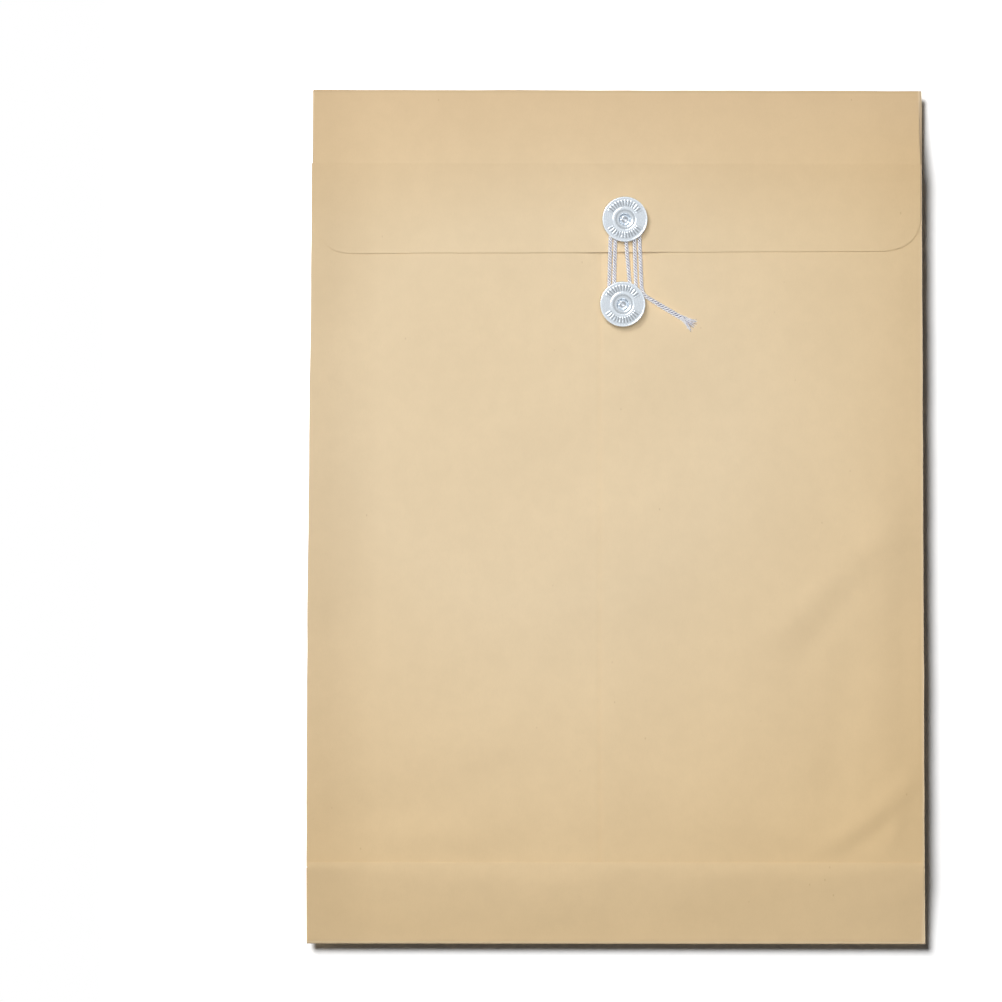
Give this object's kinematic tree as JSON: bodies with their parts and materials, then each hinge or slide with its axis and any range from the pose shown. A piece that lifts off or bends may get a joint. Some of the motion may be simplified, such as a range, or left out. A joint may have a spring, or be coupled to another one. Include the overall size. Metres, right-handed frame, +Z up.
{
  "type": "string and washer gusset envelope",
  "caption": "Kraft paper envelope for flat sheets, with side and bottom gussets, a creased flap and a string that winds round metal discs.",
  "frame": {"origin": "middle of the underside of the front panel, on the surface that the envelope lies on", "axes": "+Y to the top fold where the flap is hinged, +X to the right seen from the flap side, +Z up out of the flap side"},
  "size_m": [0.24, 0.332, 0.01],
  "materials": {
    "kraft_outer": "matt unbleached kraft with fine fibres",
    "kraft_inner": "matt unbleached kraft, inside face",
    "patch_card": "matt grey-brown card",
    "stamped_disc": "bright stamped sheet",
    "rivet": "bright clinched tube",
    "string": "braided white cord"
  },
  "bodies": {
    "front": {"front_panel": "kraft_outer"},
    "bottom": {"base_band": "kraft_outer", "bottom_flap": "kraft_outer", "left_bottom_tuck": "kraft_inner", "right_bottom_tuck": "kraft_inner"},
    "back": {"back_left_panel": "kraft_outer", "back_right_panel": "kraft_outer", "lower_rivet": "rivet", "lower_patch": "patch_card"},
    "left_outer_gusset": {"left_outer_leaf": "kraft_inner"},
    "left_inner_gusset": {"left_inner_leaf": "kraft_inner"},
    "right_outer_gusset": {"right_outer_leaf": "kraft_inner"},
    "right_inner_gusset": {"right_inner_leaf": "kraft_inner"},
    "flap": {"flap": "kraft_outer", "upper_rivet": "rivet", "upper_patch": "patch_card", "tie_string": "string", "string_tail": "string", "string_fray": "string"},
    "upper_washer": {"upper_disc": "stamped_disc"},
    "lower_washer": {"lower_disc": "stamped_disc"}
  },
  "joints": [
    {"name": "flap_open", "type": "hinge", "parent": "front", "child": "flap", "pos_m": [0, 0.166, 0.0005], "axis": [-1, 0, 0], "range_deg": [0, 165], "deforming": ["tie_string", "string_tail", "string_fray"]},
    {"name": "bottom_fold", "type": "hinge", "parent": "front", "child": "bottom", "pos_m": [0, -0.1652, 0.0008], "axis": [1, 0, 0], "range_deg": [0, 49.5]},
    {"name": "back_fold", "type": "hinge", "parent": "bottom", "child": "back", "pos_m": [0, -0.13661, 0.00568], "axis": [-1, 0, 0], "range_deg": [0, 49.5]},
    {"name": "left_outer_fold", "type": "hinge", "parent": "front", "child": "left_outer_gusset", "pos_m": [-0.11965, 0, 0.00035], "axis": [0, -1, 0], "range_deg": [0, 49.5]},
    {"name": "left_inner_fold", "type": "hinge", "parent": "left_outer_gusset", "child": "left_inner_gusset", "pos_m": [-0.10538, 0, 0.00299], "axis": [0, 1, 0], "range_deg": [0, 99]},
    {"name": "right_outer_fold", "type": "hinge", "parent": "front", "child": "right_outer_gusset", "pos_m": [0.11965, 0, 0.00035], "axis": [0, 1, 0], "range_deg": [0, 49.5]},
    {"name": "right_inner_fold", "type": "hinge", "parent": "right_outer_gusset", "child": "right_inner_gusset", "pos_m": [0.10538, 0, 0.00299], "axis": [0, -1, 0], "range_deg": [0, 99]},
    {"name": "upper_washer_turn", "type": "hinge", "parent": "flap", "child": "upper_washer", "pos_m": [0.003, 0.1148, 0.0085], "axis": [0, 0, 1], "continuous": true},
    {"name": "lower_washer_turn", "type": "hinge", "parent": "back", "child": "lower_washer", "pos_m": [0.0022, 0.0818, 0.0074], "axis": [0, 0, 1], "continuous": true}
  ],
  "couplings": [
    {"joint": "bottom_fold", "follows": "flap_open", "ratio": 0.3},
    {"joint": "back_fold", "follows": "flap_open", "ratio": 0.3},
    {"joint": "left_outer_fold", "follows": "flap_open", "ratio": 0.3},
    {"joint": "left_inner_fold", "follows": "flap_open", "ratio": 0.6},
    {"joint": "right_outer_fold", "follows": "flap_open", "ratio": 0.3},
    {"joint": "right_inner_fold", "follows": "flap_open", "ratio": 0.6}
  ]
}
